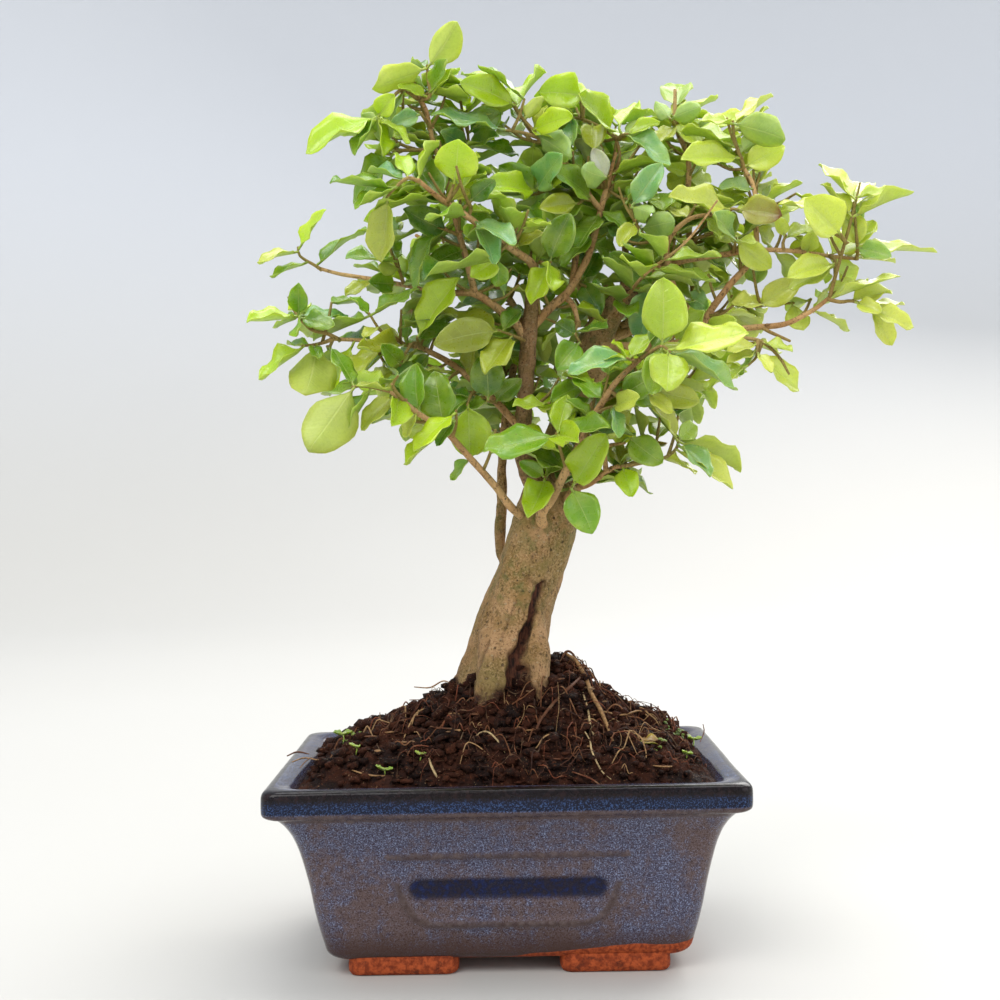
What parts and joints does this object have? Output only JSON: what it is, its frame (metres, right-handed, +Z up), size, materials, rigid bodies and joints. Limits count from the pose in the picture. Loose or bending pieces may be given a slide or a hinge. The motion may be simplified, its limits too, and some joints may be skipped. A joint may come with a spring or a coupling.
{
  "type": "bonsai tree",
  "caption": "Small privet bonsai with a leaning trunk, crumbly soil mound and glazed rectangular pot on feet; an indoor ornament.",
  "frame": {"origin": "on the ground under the middle of the whole object", "axes": "+X to the right in the picture, along the pot's long side; +Y away from the viewer; +Z up"},
  "size_m": [0.2302, 0.13, 0.3021],
  "materials": {
    "glaze": "glossy speckled blue-brown glaze",
    "screen": "matte",
    "soil": "crumbly and dull",
    "bark": "rough bark",
    "foliage": "soft gloss"
  },
  "bodies": {
    "root": {"pot": "glaze", "drain_screen_1": "screen", "drain_screen_2": "screen", "soil": "soil", "trunk": "bark", "limb_forward": "foliage", "limb_frontRight": "foliage", "limb_left_high": "foliage", "limb_left_low": "foliage", "limb_left_middle": "foliage", "limb_middle_high": "foliage", "limb_middle_top": "foliage", "limb_rearLeftHigh": "foliage", "limb_rearLeftLow": "foliage", "limb_rearMiddleHigh": "foliage", "limb_rearMiddleLow": "foliage", "limb_rearRightHigh": "foliage", "limb_rearRightLow": "foliage", "limb_rearTop": "foliage", "limb_rear_riser": "foliage", "limb_right_front": "foliage", "limb_right_high": "foliage", "limb_right_inner": "foliage", "limb_right_low": "foliage", "limb_right_middle": "foliage", "limb_right_riser": "foliage", "spray_fork": "foliage", "spray_leader_left": "foliage", "spray_leader_right": "foliage", "spray_leader_top": "foliage", "spray_rear_stem": "foliage"}
  },
  "joints": []
}
